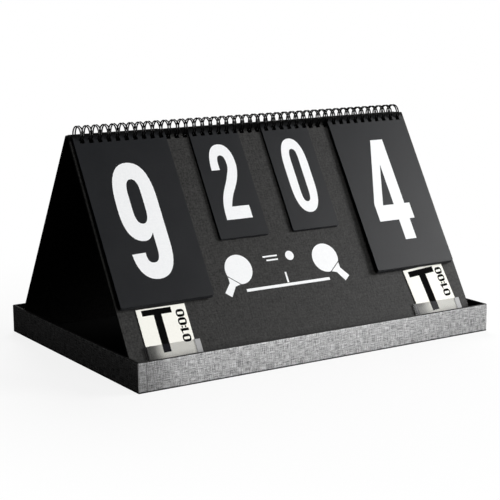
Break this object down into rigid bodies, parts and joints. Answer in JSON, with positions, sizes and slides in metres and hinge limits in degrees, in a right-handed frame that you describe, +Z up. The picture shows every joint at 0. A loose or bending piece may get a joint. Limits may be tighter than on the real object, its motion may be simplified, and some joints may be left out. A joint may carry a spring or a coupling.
{
  "type": "table tennis score counter",
  "caption": "Free-standing flip score counter: two boards lean together in a shallow tray, with number cards on a twin-loop wire and time-out cards in clear pockets.",
  "frame": {"origin": "centre of the footprint, on the surface that the tray stands on", "axes": "+X along the wire binding, to the right as seen from the front; -Y is the front, with the time-out pockets; +Z up"},
  "size_m": [0.3688, 0.249, 0.2038],
  "materials": {
    "tray_cloth": "charcoal book cloth glued over board",
    "cover_paper": "black textured cover paper over board, matt",
    "binding_wire": "black nylon-coated steel wire, glossy",
    "flip_card": "black satin plastic card with white printed digits",
    "time_out_card": "ivory white card with a black T",
    "pocket_film": "clear plastic film"
  },
  "bodies": {
    "tray": {"tray_base": "tray_cloth", "tray_front_wall": "tray_cloth", "tray_back_wall": "tray_cloth", "tray_left_wall": "tray_cloth", "tray_right_wall": "tray_cloth"},
    "binding": {"wire_binding": "binding_wire"},
    "front_panel": {"front_panel": "cover_paper", "left_pocket": "pocket_film", "right_pocket": "pocket_film"},
    "back_panel": {"back_panel": "cover_paper"},
    "left_points_front_card_4": {"left_points_front_card_4": "flip_card"},
    "left_points_front_card_3": {"left_points_front_card_3": "flip_card"},
    "left_points_front_card_2": {"left_points_front_card_2": "flip_card"},
    "left_points_front_card_1": {"left_points_front_card_1": "flip_card"},
    "left_points_back_card_2": {"left_points_back_card_2": "flip_card"},
    "left_points_back_card_1": {"left_points_back_card_1": "flip_card"},
    "left_games_front_card_3": {"left_games_front_card_3": "flip_card"},
    "left_games_front_card_2": {"left_games_front_card_2": "flip_card"},
    "left_games_front_card_1": {"left_games_front_card_1": "flip_card"},
    "left_games_back_card_1": {"left_games_back_card_1": "flip_card"},
    "right_games_front_card_3": {"right_games_front_card_3": "flip_card"},
    "right_games_front_card_2": {"right_games_front_card_2": "flip_card"},
    "right_games_front_card_1": {"right_games_front_card_1": "flip_card"},
    "right_games_back_card_1": {"right_games_back_card_1": "flip_card"},
    "right_points_front_card_4": {"right_points_front_card_4": "flip_card"},
    "right_points_front_card_3": {"right_points_front_card_3": "flip_card"},
    "right_points_front_card_2": {"right_points_front_card_2": "flip_card"},
    "right_points_front_card_1": {"right_points_front_card_1": "flip_card"},
    "right_points_back_card_2": {"right_points_back_card_2": "flip_card"},
    "right_points_back_card_1": {"right_points_back_card_1": "flip_card"},
    "left_time_out_card": {"left_time_out_card": "time_out_card"},
    "right_time_out_card": {"right_time_out_card": "time_out_card"}
  },
  "joints": [
    {"name": "tent_lift", "type": "slide", "parent": "tray", "child": "binding", "axis": [0, 0, 1], "range_m": [0, 0.12]},
    {"name": "front_fold", "type": "hinge", "parent": "binding", "child": "front_panel", "pos_m": [-0.00215, -0.0012, 0.19553], "axis": [1, 0, 0], "range_deg": [0, 14]},
    {"name": "back_fold", "type": "hinge", "parent": "binding", "child": "back_panel", "pos_m": [-0.00215, -0.0012, 0.19553], "axis": [1, 0, 0], "range_deg": [-14, 0]},
    {"name": "left_points_front_flip_4", "type": "hinge", "parent": "front_panel", "child": "left_points_front_card_4", "pos_m": [-0.00215, -0.0012, 0.19553], "axis": [1, 0, 0], "range_deg": [-172, 0]},
    {"name": "left_points_front_flip_3", "type": "hinge", "parent": "front_panel", "child": "left_points_front_card_3", "pos_m": [-0.00215, -0.0012, 0.19553], "axis": [1, 0, 0], "range_deg": [-172, 0]},
    {"name": "left_points_front_flip_2", "type": "hinge", "parent": "front_panel", "child": "left_points_front_card_2", "pos_m": [-0.00215, -0.0012, 0.19553], "axis": [1, 0, 0], "range_deg": [-172, 0]},
    {"name": "left_points_front_flip_1", "type": "hinge", "parent": "front_panel", "child": "left_points_front_card_1", "pos_m": [-0.00215, -0.0012, 0.19553], "axis": [1, 0, 0], "range_deg": [-172, 0]},
    {"name": "left_points_back_flip_2", "type": "hinge", "parent": "back_panel", "child": "left_points_back_card_2", "pos_m": [-0.00215, -0.0012, 0.19553], "axis": [1, 0, 0], "range_deg": [0, 172]},
    {"name": "left_points_back_flip_1", "type": "hinge", "parent": "back_panel", "child": "left_points_back_card_1", "pos_m": [-0.00215, -0.0012, 0.19553], "axis": [1, 0, 0], "range_deg": [0, 172]},
    {"name": "left_games_front_flip_3", "type": "hinge", "parent": "front_panel", "child": "left_games_front_card_3", "pos_m": [-0.00215, -0.0012, 0.19553], "axis": [1, 0, 0], "range_deg": [-192, 0]},
    {"name": "left_games_front_flip_2", "type": "hinge", "parent": "front_panel", "child": "left_games_front_card_2", "pos_m": [-0.00215, -0.0012, 0.19553], "axis": [1, 0, 0], "range_deg": [-192, 0]},
    {"name": "left_games_front_flip_1", "type": "hinge", "parent": "front_panel", "child": "left_games_front_card_1", "pos_m": [-0.00215, -0.0012, 0.19553], "axis": [1, 0, 0], "range_deg": [-192, 0]},
    {"name": "left_games_back_flip_1", "type": "hinge", "parent": "back_panel", "child": "left_games_back_card_1", "pos_m": [-0.00215, -0.0012, 0.19553], "axis": [1, 0, 0], "range_deg": [0, 192]},
    {"name": "right_games_front_flip_3", "type": "hinge", "parent": "front_panel", "child": "right_games_front_card_3", "pos_m": [-0.00215, -0.0012, 0.19553], "axis": [1, 0, 0], "range_deg": [-192, 0]},
    {"name": "right_games_front_flip_2", "type": "hinge", "parent": "front_panel", "child": "right_games_front_card_2", "pos_m": [-0.00215, -0.0012, 0.19553], "axis": [1, 0, 0], "range_deg": [-192, 0]},
    {"name": "right_games_front_flip_1", "type": "hinge", "parent": "front_panel", "child": "right_games_front_card_1", "pos_m": [-0.00215, -0.0012, 0.19553], "axis": [1, 0, 0], "range_deg": [-192, 0]},
    {"name": "right_games_back_flip_1", "type": "hinge", "parent": "back_panel", "child": "right_games_back_card_1", "pos_m": [-0.00215, -0.0012, 0.19553], "axis": [1, 0, 0], "range_deg": [0, 192]},
    {"name": "right_points_front_flip_4", "type": "hinge", "parent": "front_panel", "child": "right_points_front_card_4", "pos_m": [-0.00215, -0.0012, 0.19553], "axis": [1, 0, 0], "range_deg": [-172, 0]},
    {"name": "right_points_front_flip_3", "type": "hinge", "parent": "front_panel", "child": "right_points_front_card_3", "pos_m": [-0.00215, -0.0012, 0.19553], "axis": [1, 0, 0], "range_deg": [-172, 0]},
    {"name": "right_points_front_flip_2", "type": "hinge", "parent": "front_panel", "child": "right_points_front_card_2", "pos_m": [-0.00215, -0.0012, 0.19553], "axis": [1, 0, 0], "range_deg": [-172, 0]},
    {"name": "right_points_front_flip_1", "type": "hinge", "parent": "front_panel", "child": "right_points_front_card_1", "pos_m": [-0.00215, -0.0012, 0.19553], "axis": [1, 0, 0], "range_deg": [-172, 0]},
    {"name": "right_points_back_flip_2", "type": "hinge", "parent": "back_panel", "child": "right_points_back_card_2", "pos_m": [-0.00215, -0.0012, 0.19553], "axis": [1, 0, 0], "range_deg": [0, 172]},
    {"name": "right_points_back_flip_1", "type": "hinge", "parent": "back_panel", "child": "right_points_back_card_1", "pos_m": [-0.00215, -0.0012, 0.19553], "axis": [1, 0, 0], "range_deg": [0, 172]},
    {"name": "left_time_out_pull", "type": "slide", "parent": "front_panel", "child": "left_time_out_card", "axis": [0, 0.5119, 0.8591], "range_m": [0, 0.045]},
    {"name": "right_time_out_pull", "type": "slide", "parent": "front_panel", "child": "right_time_out_card", "axis": [0, 0.5119, 0.8591], "range_m": [0, 0.045]}
  ],
  "couplings": [
    {"joint": "front_fold", "follows": "tent_lift", "rad_per_m": 2.036},
    {"joint": "back_fold", "follows": "tent_lift", "rad_per_m": -2.036},
    {"joint": "left_points_front_flip_3", "follows": "left_points_front_flip_4", "ratio": 0.96},
    {"joint": "left_points_front_flip_2", "follows": "left_points_front_flip_4", "ratio": 0.92},
    {"joint": "left_points_front_flip_1", "follows": "left_points_front_flip_4", "ratio": 0.88},
    {"joint": "left_points_back_flip_1", "follows": "left_points_back_flip_2", "ratio": 0.96},
    {"joint": "left_games_front_flip_2", "follows": "left_games_front_flip_3", "ratio": 0.96},
    {"joint": "left_games_front_flip_1", "follows": "left_games_front_flip_3", "ratio": 0.92},
    {"joint": "right_games_front_flip_2", "follows": "right_games_front_flip_3", "ratio": 0.96},
    {"joint": "right_games_front_flip_1", "follows": "right_games_front_flip_3", "ratio": 0.92},
    {"joint": "right_points_front_flip_3", "follows": "right_points_front_flip_4", "ratio": 0.96},
    {"joint": "right_points_front_flip_2", "follows": "right_points_front_flip_4", "ratio": 0.92},
    {"joint": "right_points_front_flip_1", "follows": "right_points_front_flip_4", "ratio": 0.88},
    {"joint": "right_points_back_flip_1", "follows": "right_points_back_flip_2", "ratio": 0.96}
  ]
}
